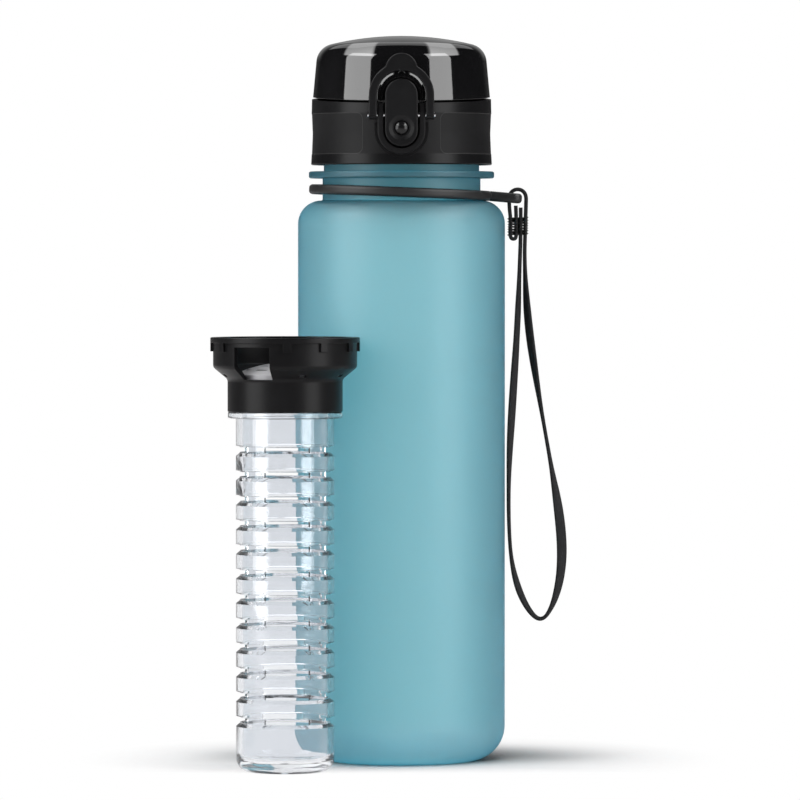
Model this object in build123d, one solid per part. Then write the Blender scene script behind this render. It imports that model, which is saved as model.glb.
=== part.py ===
from build123d import *
import math
import os

# Fruit infuser water bottle: a bottle with a screw lid, a flip cap held by a latch and a
# lock bail, a carry ring with a wrist strap, and the infuser that stands beside it.
# Millimetres and degrees. +Z is up, +X is to the right seen from the front, and the latch
# faces the front, -Y. The origin is the middle of the bottle's base.

# Gaps that several pieces share
overrun = 2.0  # how far a cutting shape passes the face that it cuts
run_gap = 0.3  # between pieces that move past each other
seat_gap = 0.1  # between flat faces that rest on each other
pin_gap = 0.06  # round a pin, in the piece that turns on it
press_gap = 0.02  # round a pin, in the piece that holds it

# Bottle
body_r = 32.5
body_wall = 2.0
base_corner_r = 11.0
base_t = 2.6
base_groove_in_r = 11.0
base_groove_w = 7.5
base_groove_h = 1.2
shoulder_z = 168.7  # top of the straight side
shoulder_r = 7.3
neck_fillet_r = 0.4
neck_h = 6.95  # from the shoulder to the flange
neck_wall = 2.4
flange_reach = 4.3
flange_t = 2.15
flange_edge_r = 0.6
finish_inset = 0.4  # the threaded neck is this much slimmer than the neck below the flange
finish_h = 13.9
lip_wall = 1.15
lip_edge_r = 0.3

# Screw thread of the neck and of the lid
thread_pitch = 4.0
thread_turns = 1.25
thread_h = 0.9
thread_crest_w = 0.9
thread_root_w = 1.7
thread_start_h = 5.5  # first turn of the neck's thread above the flange
thread_sink = 0.3  # how far the ridge is sunk into the wall that carries it

# Carry ring and its tab
ring_play = 1.15
ring_w = 2.8
ring_h = 3.1
ring_edge_r = 1.1
ring_lift = 2.5  # middle of the ring above the shoulder
ring_shift = 0.3
ring_tilt = 2.2
tab_droop = 2.7
tab_reach = 9.4  # from the ring to the end of the tab
tab_w = 9.0
tab_corner_r = 2.5
eye_bar_w = 2.4
eye_l = 2.9
eye_w = 4.8

# Wrist strap: a flat woven cord, sewn to itself under the tab. Its route is a list of
# (x, z) points in the plane y = 0, from the end that lies beside the right leg.
strap_w = 3.2
strap_t = 1.1
strap_corner_share = 0.45
strap_route = [
    (37.45, 173.8),
    (37.5, 166.5),
    (37.1, 154.5),
    (36.4, 135.5),
    (34.9, 113.0),
    (33.75, 93.0),
    (33.65, 74.5),
    (34.7, 60.5),
    (38.4, 49.2),
    (43.9, 42.8),
    (48.3, 49.6),
    (50.7, 61.5),
    (50.0, 76.0),
    (46.3, 97.0),
    (42.4, 119.0),
    (39.6, 138.5),
    (38.6, 157.0),
    (38.9, 167.5),
    (39.1, 174.3),
    (39.2, 177.9),
    (37.6, 179.5),
    (35.4, 179.5),
    (33.8, 177.9),
    (33.85, 174.0),
    (34.35, 169.6),
    (34.2, 166.4),
    (34.25, 163.95),
    (36.1, 163.95),
    (36.0, 167.2),
    (36.05, 170.8),
    (35.9, 174.4),
]

# Lid: an outer shell and a threaded liner, closed by a gasket
lid_lift = 2.0  # from the flange to the bottom of the lid
lid_h = 21.0  # from the bottom of the lid to the parting plane, on the axis
parting_tilt = 3.5  # the parting plane is lower at the front
parting_gap = 0.7
thread_gap = 0.3
liner_wall = 1.05
liner_lift = 0.5
shell_wall = 1.3
shell_flare = 0.35
shell_belt_h = 3.2  # height of the flared skirt under the grip panels
shell_edge_r = 0.4
gasket_t = 1.5
gasket_w = 3.6
deck_t = 2.0
locator_t = 0.8
locator_h = 2.2
top_deck_t = 1.3
grip_h = 12.6
grip_lift = 3.4
grip_step = 0.1  # depth of a grip panel at its edge
grip_depth = 0.35  # depth at its middle
grip_floor_r = 20.0  # of its floor, from top to bottom
grip_corner_r = 2.0
grip_front_angle = 25.5
grip_span = 124.5

# Drinking spout
spout_bore_r = 8.6
spout_wall = 1.9
spout_h = 9.2  # above its flange
spout_flange_reach = 2.2
spout_flange_t = 1.1
spout_tail_wall = 1.2
spout_edge_r = 0.5

# Cap
cap_inset = 0.25
cap_wall = 2.0
cap_taper = 2.0  # the cap is this much slimmer just above its top
cap_corner_r = 6.0
cap_dome_r = 95.0
cap_top_h = 19.5  # from the parting plane to the top of the dome
seal_r = 12.2
seal_t = 1.8
cap_liner_r = 11.6
cap_liner_wall = 1.6
cap_liner_disc_t = 1.5
cap_liner_h = 6.3

# Latch: a lever in a pocket shared by the lid and the cap, on a pin across the front
latch_low_h = 10.5  # lower centre above the bottom of the lid
latch_span = 10.8
button_r = 5.1
button_t = 2.6
button_edge_r = 0.5
pocket_play = 0.55
cheek_t = 1.8
foot_reach = 0.95
foot_h = 10.7
foot_stand = 0.3
housing_stand = 2.95
boss_stand = 1.8
button_stand = 1.0
pocket_floor_t = 1.15
boss_bevel = 0.6
nub_r = 0.9
nub_rise = 0.2
pin_r = 0.8
pin_h = 4.8  # the pin above the latch's lower centre
pin_depth = 1.5  # the pin behind the front of the housing
pin_reach = 0.45  # the pin's end beyond the bail
barrel_r = 1.3
hook_w = 5.0
hook_t = 0.6
hook_h = 1.5
catch_h = 1.2
catch_w = 6.0
dish_r = 3.97
dish_floor_r = 2.75
dish_depth = 0.5
stud_hole_r = 2.35
stud_hole_depth = 1.3
stud_r = 2.1
stud_rise = 0.9
stud_foot_t = 0.5
stud_lift = 0.7  # the stud above the latch's lower centre
leaf_t = 0.25
leaf_w = 3.6
leaf_l = 5.0
leaf_lift = 1.6  # middle of the leaf spring below the latch's lower centre

# Lock bail
bail_play = 0.2
bail_w = 2.45
bail_t = 2.1
bail_edge_r = 0.4
bail_kink_r = 0.8
bail_eye_r = 1.5
bail_foot_drop = 0.4
thumb_r = 5.0
thumb_rise = 8.0  # centre of the thumb tab above the arch's centre

# Cap hinge at the back
hinge_pin_r = 0.9
hinge_reach = 1.9  # the hinge axis behind the lid's wall
knuckle_r = 2.1
knuckle_in_x = 2.6
knuckle_w = 2.3
ear_gap = 0.3
ear_w = 2.8
ear_drop = 9.0
cap_web_h = 6.5
spring_wire = 0.5
spring_turns = 4.5
spring_pitch = 0.92
spring_play = 0.35
spring_samples = 64  # points of a turn at which the gap between turns is measured

# Infuser collar, measured from the infuser's own base
stand_gap = 0.9  # between the collar and the bottle
stand_angle = 230.6
collar_play = 0.25
rim_t = 1.6
rib_h = 2.7
rib_w = 2.5
ribs_between = 5  # ribs between one window and the next
collar_wall_t = 1.5
collar_wall_h = 7.6  # straight wall below the rim
collar_taper_h = 3.7
collar_fillet_r = 1.6
collar_edge_r = 0.3
neck_ring_h = 10.0
neck_ring_wall = 0.9
ledge_t = 1.1
ledge_w = 2.6
window_angle = -27.4
window_span = 32.0
window_head = 1.3  # wall left under the rim above a window
window_count = 2
drain_count = 8
drain_w = 2.2
drain_h = 0.8

# Infuser tube
tube_r = 15.15
tube_wall = 2.0
tube_flange_reach = 2.45
tube_flange_t = 1.8
tube_flange_z = 108.9
tube_neck_h = 8.0
tube_corner_r = 4.3
tube_base_t = 3.4
foot_recess_r = 8.2
foot_recess_h = 1.6
foot_notch_w = 2.0
foot_notch_l = 2.4
foot_notch_count = 6
groove_rows = 12
groove_pitch = 7.56
groove_first_z = 16.04
groove_depth = 1.2
groove_mouth_h = 3.0
groove_floor_h = 2.0
slot_h = 1.6
slot_span = 60.0
slot_turn = 4.0
slot_count = 4
lug_count = 3
lug_span = 36.0
lug_h = 1.8
lug_reach = 1.2
lug_z = 113.2
shelf_h = 1.5
shelf_play = 0.35

# Strainer under the collar's mouth
strainer_rise = 3.55
strainer_t = 1.2
strainer_rim_h = 1.4
strainer_inset = 1.2
strainer_slot_w = 0.9
strainer_ring_share = [0.28, 0.52, 0.77]
strainer_ring_count = [4, 7, 10]
strainer_slot_share = 0.55

# Heights and radii that follow
body_top_z = shoulder_z + shoulder_r
neck_r = body_r - shoulder_r - neck_fillet_r
flange_z = body_top_z + neck_h
flange_top_z = flange_z + flange_t
neck_top_z = flange_top_z + finish_h
finish_r = neck_r - finish_inset
bore_r = neck_r - neck_wall
seat_r = finish_r - lip_wall
seat_h = rim_t + rib_h - seat_gap
ring_in_r = neck_r + ring_play
ring_out_r = ring_in_r + ring_w
ring_z = body_top_z + ring_lift
lid_z = flange_top_z + lid_lift
parting_z = lid_z + lid_h
liner_in_r = finish_r + thread_h + thread_gap
liner_out_r = liner_in_r + liner_wall
liner_z = lid_z + liner_lift
shell_in_r = liner_out_r + seat_gap
lid_r = shell_in_r + shell_wall
gasket_z = neck_top_z + seat_gap
gasket_out_r = liner_in_r - run_gap
deck_z = gasket_z + gasket_t + seat_gap
deck_top_z = deck_z + deck_t
spout_r = spout_bore_r + spout_wall
spout_flange_z = deck_top_z + seat_gap
spout_flange_r = spout_r + spout_flange_reach
spout_tail_r = spout_bore_r + spout_tail_wall
spout_top_z = spout_flange_z + spout_flange_t + spout_h
top_deck_z = spout_flange_z + spout_flange_t + seat_gap
cap_r = lid_r - cap_inset
cap_top_z = parting_z + cap_top_h
seal_z = spout_top_z + seat_gap
latch_low_z = lid_z + latch_low_h
latch_high_z = latch_low_z + latch_span
pocket_r = button_r + pocket_play
housing_r = pocket_r + cheek_t
foot_r = housing_r + foot_reach
housing_y = -(lid_r + housing_stand)
boss_y = -(cap_r + boss_stand)
button_y = housing_y - button_stand
button_back_y = button_y + button_t
pocket_floor_y = -(shell_in_r + pocket_floor_t)
pin_y = housing_y + pin_depth
pin_z = latch_low_z + pin_h
stud_z = latch_low_z + stud_lift
bail_in_r = housing_r + bail_play
bail_out_r = bail_in_r + bail_w
bail_back_y = boss_y - run_gap
hinge_y = lid_r + hinge_reach
hinge_z = parting_z + math.tan(math.radians(parting_tilt)) * lid_r
ear_in_x = knuckle_in_x + knuckle_w + ear_gap
collar_rim_r = seat_r - collar_play
collar_wall_r = bore_r - collar_play
neck_ring_r = tube_r + tube_flange_reach + seat_gap
collar_z = tube_flange_z + tube_flange_t + seat_gap
neck_ring_top_z = collar_z + neck_ring_h
collar_wall_z = neck_ring_top_z + collar_taper_h
rim_z = collar_wall_z + collar_wall_h
collar_top_z = rim_z + rim_t
tube_top_z = tube_flange_z + tube_flange_t + tube_neck_h
stand_r = body_r + collar_rim_r + stand_gap
infuser_x = stand_r * math.cos(math.radians(stand_angle))
infuser_y = stand_r * math.sin(math.radians(stand_angle))


def outline(corners):
    """A closed face. Each corner is (x, y), or (x, y, radius) where it is rounded."""
    points = [corner[:2] for corner in corners]
    radii = [corner[2] if len(corner) == 3 else 0 for corner in corners]
    return make_face(FilletPolyline(*points, radius=radii, close=True).edges())


def turned(corners, arc=360.0):
    """A solid turned about Z from an outline of (radius, height) corners."""
    return revolve(Plane.XZ * outline(corners), Axis.Z, arc)


def ring_block(in_r, out_r, low, high, arc=360.0):
    """A plain ring, or a sector of one that starts at +X."""
    return turned([(in_r, low), (out_r, low), (out_r, high), (in_r, high)], arc)


def disc(r, low, high):
    """A plain round plate about Z."""
    return Pos(0, 0, low) * extrude(Circle(r), high - low)


def front_plate(face, front_y, back_y):
    """A plate that faces the front: the face's x and y become X and Z."""
    plane = Plane(origin=(0, back_y, 0), x_dir=(1, 0, 0), z_dir=(0, -1, 0))
    return extrude(plane * face, back_y - front_y)


def cross_bar(face, x_low, x_high):
    """A bar along X: the face's x and y become Y and Z."""
    plane = Plane(origin=(x_low, 0, 0), x_dir=(0, 1, 0), z_dir=(1, 0, 0))
    return extrude(plane * face, x_high - x_low)


def rod(r, x_low, x_high, y, z):
    """A round rod along X."""
    return cross_bar(Pos(y, z) * Circle(r), x_low, x_high)


def stadium(r, low, high):
    """An upright slot shape with its round ends centred at two heights."""
    middle = Pos(0, (low + high) / 2)
    return middle * SlotCenterToCenter(high - low, 2 * r, rotation=90)


def above_parting(offset):
    """Everything above the parting plane, which is moved up by the offset."""
    size = 4 * body_r
    half = Pos(0, 0, size / 2) * Box(size, size, size)
    return Pos(0, 0, parting_z + offset) * Rot(parting_tilt, 0, 0) * half


def below_parting(offset):
    """Everything below the parting plane, which is moved up by the offset."""
    size = 4 * body_r
    half = Pos(0, 0, -size / 2) * Box(size, size, size)
    return Pos(0, 0, parting_z + offset) * Rot(parting_tilt, 0, 0) * half


def from_front(angle):
    """Turns a sector that starts at +X so that it starts at an angle from the front."""
    return Rot(0, 0, angle - 90)


def thread_ridge(wall_r, crest_r, start_z):
    """A helical ridge on a wall, outwards or inwards."""
    outwards = 1 if crest_r > wall_r else -1
    foot_r = wall_r - outwards * thread_sink
    section = Plane.XZ * outline(
        [
            (foot_r, -thread_root_w / 2),
            (crest_r, -thread_crest_w / 2),
            (crest_r, thread_crest_w / 2),
            (foot_r, thread_root_w / 2),
        ]
    )
    path = Helix(thread_pitch, thread_pitch * thread_turns, wall_r)
    return Pos(0, 0, start_z) * sweep(section, path=path, is_frenet=True)


def bottle_body():
    """Bottle with a rounded foot, a shoulder, a flange and a threaded neck."""
    inner_r = body_r - body_wall
    inner_top_z = body_top_z - body_wall
    seat_z = neck_top_z - seat_h
    shell = turned(
        [
            (0, 0),
            (body_r, 0, base_corner_r),
            (body_r, body_top_z, shoulder_r),
            (neck_r, body_top_z, neck_fillet_r),
            (neck_r, flange_z),
            (neck_r + flange_reach, flange_z, flange_edge_r),
            (neck_r + flange_reach, flange_top_z, flange_edge_r),
            (finish_r, flange_top_z),
            (finish_r, neck_top_z, lip_edge_r),
            (seat_r, neck_top_z, lip_edge_r),
            (seat_r, seat_z),
            (bore_r, seat_z),
            (bore_r, inner_top_z),
            (inner_r, inner_top_z, shoulder_r - body_wall),
            (inner_r, base_t, base_corner_r - body_wall),
            (0, base_t),
        ]
    )
    groove_out_r = base_groove_in_r + base_groove_w
    shell -= turned(
        [
            (base_groove_in_r, -overrun),
            (base_groove_in_r, 0),
            (base_groove_in_r + base_groove_h, base_groove_h),
            (groove_out_r - base_groove_h, base_groove_h),
            (groove_out_r, 0),
            (groove_out_r, -overrun),
        ]
    )
    ridge_z = flange_top_z + thread_start_h
    return shell + thread_ridge(finish_r, finish_r + thread_h, ridge_z)


def carry_ring():
    """Rubber ring round the neck, with a tab that has an eye for the strap."""
    half = ring_h / 2
    hoop = turned(
        [
            (ring_in_r, -half, ring_edge_r),
            (ring_out_r, -half, ring_edge_r),
            (ring_out_r, half, ring_edge_r),
            (ring_in_r, half, ring_edge_r),
        ]
    )
    root_x = ring_in_r + ring_w / 2
    end_x = ring_out_r + tab_reach
    plan = outline(
        [
            (root_x, -tab_w / 2),
            (end_x, -tab_w / 2, tab_corner_r),
            (end_x, tab_w / 2, tab_corner_r),
            (root_x, tab_w / 2),
        ]
    )
    tab = Pos(0, 0, -half) * extrude(plan, ring_h)
    tab = fillet(tab.edges().group_by(Axis.Z)[0] + tab.edges().group_by(Axis.Z)[-1], ring_edge_r)
    eye_x = end_x - eye_bar_w - eye_l / 2
    tab -= Pos(eye_x, 0, 0) * Box(eye_l, eye_w, ring_h + overrun)
    tab = Pos(root_x, 0, 0) * Rot(0, tab_droop, 0) * Pos(-root_x, 0, 0) * tab
    tab -= disc(root_x, -ring_h, ring_h)
    return ring_place() * (hoop + tab)


def ring_place():
    """Where the carry ring lies: a little off the axis and tilted down to the right."""
    return Pos(-ring_shift, 0, ring_z) * Rot(0, ring_tilt, 0)


def wrist_strap():
    """Strap swept along straight runs that are joined by tangent arcs."""
    points = [Vector(x, z) for x, z in strap_route]
    radii = []
    for before, here, after in zip(points, points[1:], points[2:]):
        turn = math.radians((here - before).get_angle(after - here))
        shorter = min((here - before).length, (after - here).length)
        radii.append(strap_corner_share * shorter / math.tan(turn / 2))
    path = Plane.XZ * FilletPolyline(*strap_route, radius=radii)
    print("strap radii", [round(radius, 1) for radius in radii])
    print("strap length", round(path.length, 1))
    start = Plane(origin=path @ 0, x_dir=(0, 1, 0), z_dir=path % 0)
    strap = sweep(start * Rectangle(strap_w, strap_t), path=path)
    print("strap volume", round(strap.volume, 1), round(path.length * strap_w * strap_t, 1))
    return strap


def grip_cutter():
    """The shape that a sunken grip panel takes out of one side of the lid's wall."""
    low = lid_z + grip_lift
    edge_r = lid_r + shell_flare / 2 - grip_step
    floor_r = edge_r + grip_step - grip_depth
    panel = turned(
        [
            (floor_r, low + grip_h / 2, grip_floor_r),
            (edge_r, low),
            (lid_r + overrun, low),
            (lid_r + overrun, low + grip_h),
            (edge_r, low + grip_h),
        ],
        grip_span,
    )
    straight = panel.edges().filter_by(GeomType.LINE)
    radial = straight.group_by(Axis.Z)[0] + straight.group_by(Axis.Z)[-1]
    return fillet(radial, grip_corner_r)


def latch_pocket(floor_y):
    """The pocket that the latch lever lies in."""
    return front_plate(stadium(pocket_r, latch_low_z, latch_high_z), housing_y - overrun, floor_y)


def lid_base_shell():
    """Outer lid wall with grip panels, the latch housing and the ears of the hinge."""
    top_z = parting_z + lid_r * math.tan(math.radians(parting_tilt)) + overrun
    wall = turned(
        [
            (shell_in_r, lid_z),
            (lid_r + shell_flare, lid_z, shell_edge_r),
            (lid_r + shell_flare / 2, lid_z + shell_belt_h),
            (lid_r + shell_flare / 2, lid_z + grip_lift + grip_h),
            (lid_r, top_z),
            (shell_in_r, top_z),
        ]
    )
    housing = front_plate(stadium(housing_r, latch_low_z, latch_high_z), housing_y, 0)
    housing = fillet(housing.faces().sort_by(Axis.Y)[0].edges(), button_edge_r)
    foot_y = -(lid_r + foot_stand)
    foot = front_plate(stadium(foot_r, latch_low_z, latch_high_z), foot_y, 0)
    foot_top_z = latch_low_z - foot_r + foot_h
    foot -= Pos(0, 0, foot_top_z + body_r) * Box(2 * body_r, 4 * body_r, 2 * body_r)
    panel = grip_cutter()
    wall -= from_front(grip_front_angle) * panel
    wall -= from_front(-grip_front_angle - grip_span) * panel
    shell = wall + (housing + foot - disc(shell_in_r, 0, cap_top_z))
    shell += hinge_ears()
    top_deck_r = shell_in_r + shell_wall / 2
    shell += ring_block(
        spout_flange_r + run_gap, top_deck_r, top_deck_z, top_deck_z + top_deck_t
    )
    shell -= latch_pocket(pocket_floor_y)
    shell -= rod(pin_r + press_gap, -body_r, body_r, pin_y, pin_z)
    shell -= above_parting(-parting_gap / 2) - ear_shapes(knuckle_r)
    knuckle_room = knuckle_r + run_gap
    shell -= rod(knuckle_room, -ear_in_x + ear_gap / 2, ear_in_x - ear_gap / 2, hinge_y, hinge_z)
    shell -= rod(hinge_pin_r + press_gap, -body_r, body_r, hinge_y, hinge_z)
    return shell


def ear_shapes(r):
    """The two round ears that hold the ends of the hinge pin."""
    right = rod(r, ear_in_x, ear_in_x + ear_w, hinge_y, hinge_z)
    return right + mirror(right, Plane.YZ)


def hinge_ears():
    """Ears with a sloping web that runs down into the lid's wall."""
    back_y = hinge_y + knuckle_r
    root_y = shell_in_r + shell_wall / 2
    web = outline(
        [
            (root_y, hinge_z - ear_drop),
            (back_y, hinge_z - knuckle_r),
            (back_y, hinge_z),
            (root_y, hinge_z),
        ]
    )
    right = cross_bar(web, ear_in_x, ear_in_x + ear_w)
    right -= disc(root_y - overrun / 2, 0, cap_top_z)
    return right + mirror(right, Plane.YZ) + ear_shapes(knuckle_r)


def lid_thread_liner():
    """Threaded liner with the deck that closes the neck round the spout."""
    locator_r = collar_wall_r - collar_wall_t - run_gap
    locator_in_r = locator_r - locator_t
    tail_hole_r = spout_tail_r + seat_gap
    liner = turned(
        [
            (liner_in_r, liner_z),
            (liner_out_r, liner_z),
            (liner_out_r, deck_top_z),
            (tail_hole_r, deck_top_z),
            (tail_hole_r, deck_z),
            (locator_in_r, deck_z),
            (locator_in_r, deck_z - locator_h),
            (locator_r, deck_z - locator_h),
            (locator_r, deck_z),
            (liner_in_r, deck_z),
        ]
    )
    ridge_z = flange_top_z + thread_start_h - thread_pitch / 2
    return liner + thread_ridge(liner_in_r, liner_in_r - thread_h, ridge_z)


def lid_gasket():
    """Flat silicone ring between the neck and the liner's deck."""
    in_r = gasket_out_r - gasket_w
    return ring_block(in_r, gasket_out_r, gasket_z, gasket_z + gasket_t)


def drinking_spout():
    """Spout set in the liner's deck, with a rounded lip."""
    return turned(
        [
            (spout_bore_r, deck_z - seat_gap),
            (spout_tail_r, deck_z - seat_gap),
            (spout_tail_r, spout_flange_z),
            (spout_flange_r, spout_flange_z),
            (spout_flange_r, spout_flange_z + spout_flange_t),
            (spout_r, spout_flange_z + spout_flange_t),
            (spout_r, spout_top_z, spout_edge_r),
            (spout_bore_r, spout_top_z, spout_edge_r),
        ]
    )


def cap_form(inset):
    """The cap's outer shape, or its hollow when it is drawn in by the inset."""
    side_r = cap_r - inset
    low_z = parting_z - lid_r * math.tan(math.radians(parting_tilt)) - overrun
    high_z = cap_top_z + overrun
    cone = outline(
        [
            (0, low_z),
            (side_r, low_z),
            (side_r, parting_z),
            (side_r - cap_taper, high_z),
            (0, high_z),
        ]
    )
    half = cone & Pos(0, cap_top_z - cap_dome_r) * Circle(cap_dome_r - inset)
    brow = half.vertices().sort_by(Axis.Y)[-2]
    return revolve(Plane.XZ * fillet(brow, cap_corner_r - inset), Axis.Z)


def cap_shell():
    """Domed cap with the arch over the latch and the knuckles of the hinge."""
    arch = front_plate(stadium(housing_r, latch_low_z, latch_high_z), boss_y, 0)
    arch = chamfer(arch.faces().sort_by(Axis.Y)[0].edges(), boss_bevel)
    nub_z = latch_high_z + housing_r + nub_rise - nub_r
    arch += front_plate(Pos(0, nub_z) * Circle(nub_r), boss_y, 0)
    solid = cap_form(0) + arch + cap_webs()
    catch_z = pin_z + catch_offset()
    catch = front_plate(Pos(0, catch_z) * Rectangle(catch_w, catch_h), catch_front_y(), 0)
    solid -= latch_pocket(pocket_floor_y + seat_gap)
    solid += catch
    solid -= cap_form(cap_wall)
    knuckles = rod(knuckle_r, knuckle_in_x, knuckle_in_x + knuckle_w, hinge_y, hinge_z)
    knuckles += mirror(knuckles, Plane.YZ)
    solid -= below_parting(parting_gap / 2)
    solid += knuckles
    for side in (-1, 1):
        middle = side * (ear_in_x + ear_w / 2)
        half = ear_w / 2 + ear_gap
        solid -= rod(knuckle_r + run_gap, middle - half, middle + half, hinge_y, hinge_z)
    room_x = knuckle_in_x
    solid -= rod(knuckle_r + run_gap, -room_x, room_x, hinge_y, hinge_z)
    solid -= rod(hinge_pin_r + pin_gap, -body_r, body_r, hinge_y, hinge_z)
    return solid


def catch_offset():
    """Middle of the cap's catch above the latch pin."""
    return hook_offset() - hook_h / 2 - run_gap - catch_h / 2


def catch_front_y():
    """Front of the cap's catch, which the lever's hook passes behind the button."""
    return button_back_y + hook_t + run_gap


def hook_offset():
    """Middle of the lever's hook above the latch pin."""
    return latch_high_z + button_r - pin_z - hook_h


def cap_webs():
    """Webs that carry the cap's two knuckles up to its wall."""
    root_y = cap_r - cap_wall / 2
    web = outline(
        [
            (root_y, hinge_z + knuckle_r / 2),
            (hinge_y, hinge_z),
            (hinge_y + knuckle_r, hinge_z),
            (root_y, hinge_z + cap_web_h),
        ]
    )
    right = cross_bar(web, knuckle_in_x, knuckle_in_x + knuckle_w)
    return right + mirror(right, Plane.YZ)


def cap_liner():
    """Inner cup of the cap, which presses the seal on the spout."""
    disc_r = cap_r - cap_wall - cap_taper - run_gap
    seat_z = seal_z + seal_t + seat_gap
    top_z = seat_z + cap_liner_h
    cup = turned(
        [
            (0, seat_z),
            (cap_liner_r, seat_z),
            (cap_liner_r, top_z - cap_liner_disc_t),
            (disc_r, top_z - cap_liner_disc_t),
            (disc_r, top_z),
            (cap_liner_r - cap_liner_wall, top_z),
            (cap_liner_r - cap_liner_wall, seat_z + cap_liner_wall),
            (0, seat_z + cap_liner_wall),
        ]
    )
    return cup & cap_form(cap_wall + run_gap)


def latch_lever():
    """Lever with a finger dish, a hook behind its top and a bore for the pin."""
    lever = front_plate(stadium(button_r, latch_low_z, latch_high_z), button_y, button_back_y)
    lever = fillet(lever.faces().sort_by(Axis.Y)[0].edges(), button_edge_r)
    lever += rod(barrel_r, -button_r, button_r, pin_y, pin_z)
    hook_z = pin_z + hook_offset()
    hook = front_plate(
        Pos(0, hook_z) * Rectangle(hook_w, hook_h), button_back_y - hook_t, button_back_y + hook_t
    )
    lever += hook
    place = Pos(0, stud_z)
    dish = Cone(dish_floor_r, dish_r, dish_depth)
    lever -= Pos(0, button_y + dish_depth / 2, stud_z) * Rot(90, 0, 0) * dish
    hole_y = button_y + stud_hole_depth
    lever -= front_plate(place * Circle(stud_hole_r), button_y - overrun, hole_y)
    lever -= rod(pin_r + pin_gap, -body_r, body_r, pin_y, pin_z)
    return lever


def press_stud():
    """Domed stud in the middle of the lever's finger dish."""
    floor_y = button_y + stud_hole_depth
    foot = front_plate(Pos(0, stud_z) * Circle(stud_r), floor_y - stud_foot_t, floor_y)
    rise = stud_rise
    ball_r = (stud_r**2 + rise**2) / (2 * rise)
    ball = Pos(0, floor_y - stud_foot_t - rise + ball_r, stud_z) * Sphere(ball_r)
    cap = ball & front_plate(Pos(0, stud_z) * Circle(stud_r), floor_y - stud_foot_t - rise, floor_y)
    return foot + cap


def latch_pin():
    """Steel pin across the latch, through the lever, the housing and the bail."""
    reach = bail_out_r + pin_reach
    return rod(pin_r, -reach, reach, pin_y, pin_z)


def latch_spring():
    """Bowed leaf spring between the pocket floor and the lower end of the lever."""
    gap = pocket_floor_y - button_back_y - 2 * seat_gap
    rise = gap - leaf_t
    bow_r = (leaf_l**2 / 4 + rise**2) / (2 * rise)
    leaf_z = latch_low_z - leaf_lift
    front_y = button_back_y + seat_gap
    bow = Pos(front_y + leaf_t + bow_r, leaf_z) * (Circle(bow_r + leaf_t) - Circle(bow_r))
    window = Pos(front_y + gap / 2, leaf_z) * Rectangle(gap, leaf_l)
    return cross_bar(bow & window, -leaf_w / 2, leaf_w / 2)


def lock_bail():
    """Bail over the latch: two arms, an arch and a thumb tab in one plate."""
    arch = Pos(0, latch_high_z)
    foot_z = pin_z - bail_foot_drop
    arm_h = latch_high_z - foot_z
    middle = Pos(0, latch_high_z - arm_h / 2)
    outer = arch * Circle(bail_out_r) + middle * Rectangle(2 * bail_out_r, arm_h)
    outer += Pos(0, latch_high_z + thumb_rise) * Circle(thumb_r)
    low_half = Pos(0, foot_z - bail_out_r) * Rectangle(4 * bail_out_r, 2 * bail_out_r)
    inner = arch * Circle(bail_in_r) + middle * Rectangle(2 * bail_in_r, arm_h)
    face = outer - inner - low_half
    kinks = [corner for corner in face.vertices() if corner.Y > latch_high_z + bail_out_r / 2]
    face = fillet(kinks, bail_kink_r)
    bail = front_plate(face, bail_back_y - bail_t, bail_back_y)
    bail = fillet(bail.faces().sort_by(Axis.Y)[0].edges(), bail_edge_r)
    for side in (-1, 1):
        middle_x = side * (bail_in_r + bail_w / 2)
        bail += rod(bail_eye_r, middle_x - bail_w / 2, middle_x + bail_w / 2, pin_y, pin_z)
    return bail - rod(pin_r + pin_gap, -body_r, body_r, pin_y, pin_z)


def hinge_pin():
    """Steel pin of the cap hinge, flush with the ears."""
    reach = ear_in_x + ear_w
    return rod(hinge_pin_r, -reach, reach, hinge_y, hinge_z)


def hinge_spring():
    """Coil round the hinge pin, between the cap's knuckles."""
    coil_r = hinge_pin_r + spring_play + spring_wire / 2
    length = spring_turns * spring_pitch
    path = Helix(spring_pitch, length, coil_r)
    count = round(spring_turns * spring_samples)
    points = [path @ (i / count) for i in range(count + 1)]
    apart = spring_samples // 2
    spans = [(b - a).length for i, a in enumerate(points) for b in points[i + apart :]]
    print("coil gap", round(min(spans) - spring_wire, 3))
    start = Plane(origin=path @ 0, z_dir=path % 0)
    coil = sweep(start * Circle(spring_wire / 2), path=path, is_frenet=True)
    return Pos(-length / 2, hinge_y, hinge_z) * Rot(0, 90, 0) * coil


def infuser_place():
    """Where the infuser stands, in front of the bottle and to the left."""
    return Pos(infuser_x, infuser_y, 0)


def ring_of(shape, count, first_angle):
    """Copies of a shape about Z, from an angle that is counted from the front."""
    step = 360 / count
    return [from_front(first_angle + step * i) * shape for i in range(count)]


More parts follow.
